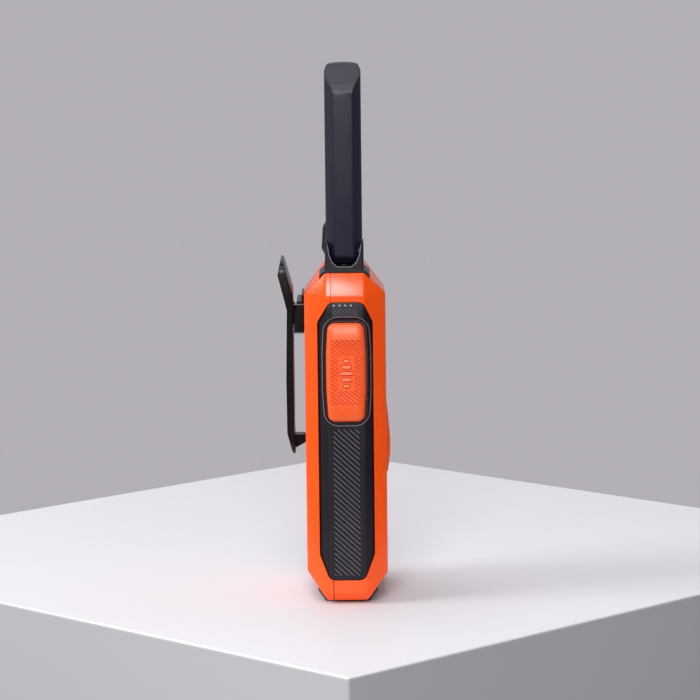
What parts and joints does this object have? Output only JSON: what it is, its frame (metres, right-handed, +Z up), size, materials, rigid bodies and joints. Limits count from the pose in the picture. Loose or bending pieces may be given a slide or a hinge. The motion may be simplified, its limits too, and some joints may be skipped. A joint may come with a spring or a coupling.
{
  "type": "two way radio",
  "caption": "Handheld two way radio: faceted two-part housing, rubber side grips, push-to-talk button, stubby antenna, volume knob, keys, display, speaker and sprung belt clip.",
  "frame": {"origin": "middle of the base, on the surface that the radio stands on", "axes": "+Z up along the antenna, -Y out of the front with the keys and the speaker, +Y to the belt clip, -X the antenna and push-to-talk side"},
  "size_m": [0.0589, 0.04, 0.1938],
  "materials": {
    "orange": "satin moulded, fine grain",
    "grip": "matt, ribbed",
    "foot": "matt",
    "dark": "satin, fine grain",
    "black": "gloss",
    "window": "polished, dark tinted",
    "light_pipe": "clear, frosted",
    "steel": "plated",
    "brass": "bright",
    "board": "solder mask",
    "cell": "shrink sleeve",
    "cone": "pressed paper"
  },
  "bodies": {
    "housing": {"front_housing": "orange", "rear_housing": "orange", "left_grip_front": "grip", "left_grip_rear": "grip", "right_grip_front": "grip", "right_grip_rear": "grip", "bottom_bumper": "foot", "antenna_base": "dark", "antenna_cover": "dark", "antenna_coil": "brass", "antenna_stud": "brass", "knob_collar": "dark", "volume_encoder": "steel", "ptt_switch": "steel", "lcd_window": "window", "lcd_module": "board", "status_light": "light_pipe", "microphone": "foot", "speaker_grille": "black", "speaker_frame": "steel", "speaker_cone": "cone", "speaker_magnet": "steel", "keypad_mat": "foot", "keypad_board": "board", "board_connector": "dark", "main_pcb": "board", "rf_shield": "steel", "usb_socket": "steel", "headset_jack": "brass", "battery_pack": "cell", "battery_contact_plus": "brass", "battery_contact_minus": "brass", "door_seal": "foot", "clip_bracket": "black", "clip_pin": "steel", "clip_spring": "steel", "clip_screw_left": "steel", "clip_screw_right": "steel", "housing_screw_1": "steel", "housing_screw_2": "steel", "housing_screw_3": "steel", "housing_screw_4": "steel"},
    "ptt": {"ptt_button": "orange"},
    "volume": {"volume_knob": "black", "volume_shaft": "steel"},
    "menu": {"key_menu": "grip"},
    "call": {"key_call": "grip"},
    "up": {"key_up": "grip"},
    "down": {"key_down": "grip"},
    "power": {"key_power": "grip"},
    "clip": {"belt_clip": "black"},
    "door": {"battery_door": "orange"},
    "latch": {"door_latch": "black"},
    "port_flap": {"port_cover": "grip"}
  },
  "joints": [
    {"name": "ptt_press", "type": "slide", "parent": "housing", "child": "ptt", "axis": [1, 0, 0], "range_m": [0, 0.001], "stiffness_N_per_m": 900, "springref_m": -0.0005},
    {"name": "volume_turn", "type": "hinge", "parent": "housing", "child": "volume", "pos_m": [0.01, 0.0014, 0.1222], "axis": [0, 0, 1], "range_deg": [-270, 0]},
    {"name": "menu_press", "type": "slide", "parent": "housing", "child": "menu", "axis": [0, 1, 0], "range_m": [0, 0.0008], "stiffness_N_per_m": 400, "springref_m": -0.0004},
    {"name": "call_press", "type": "slide", "parent": "housing", "child": "call", "axis": [0, 1, 0], "range_m": [0, 0.0008], "stiffness_N_per_m": 400, "springref_m": -0.0004},
    {"name": "up_press", "type": "slide", "parent": "housing", "child": "up", "axis": [0, 1, 0], "range_m": [0, 0.0008], "stiffness_N_per_m": 400, "springref_m": -0.0004},
    {"name": "down_press", "type": "slide", "parent": "housing", "child": "down", "axis": [0, 1, 0], "range_m": [0, 0.0008], "stiffness_N_per_m": 400, "springref_m": -0.0004},
    {"name": "power_press", "type": "slide", "parent": "housing", "child": "power", "axis": [0, 1, 0], "range_m": [0, 0.0008], "stiffness_N_per_m": 400, "springref_m": -0.0004},
    {"name": "clip_open", "type": "hinge", "parent": "housing", "child": "clip", "pos_m": [0, 0.0166, 0.103], "axis": [1, 0, 0], "range_deg": [0, 10], "stiffness_Nm_per_rad": 0.6, "springref_deg": -11.46},
    {"name": "door_slide", "type": "slide", "parent": "housing", "child": "door", "axis": [0, 0, -1], "range_m": [0, 0.004]},
    {"name": "latch_slide", "type": "slide", "parent": "housing", "child": "latch", "axis": [0, 0, 1], "range_m": [0, 0.0015]},
    {"name": "port_swing", "type": "hinge", "parent": "housing", "child": "port_flap", "pos_m": [0.0283, 0.0057, 0.085], "axis": [0, 0, 1], "range_deg": [0, 110]}
  ]
}
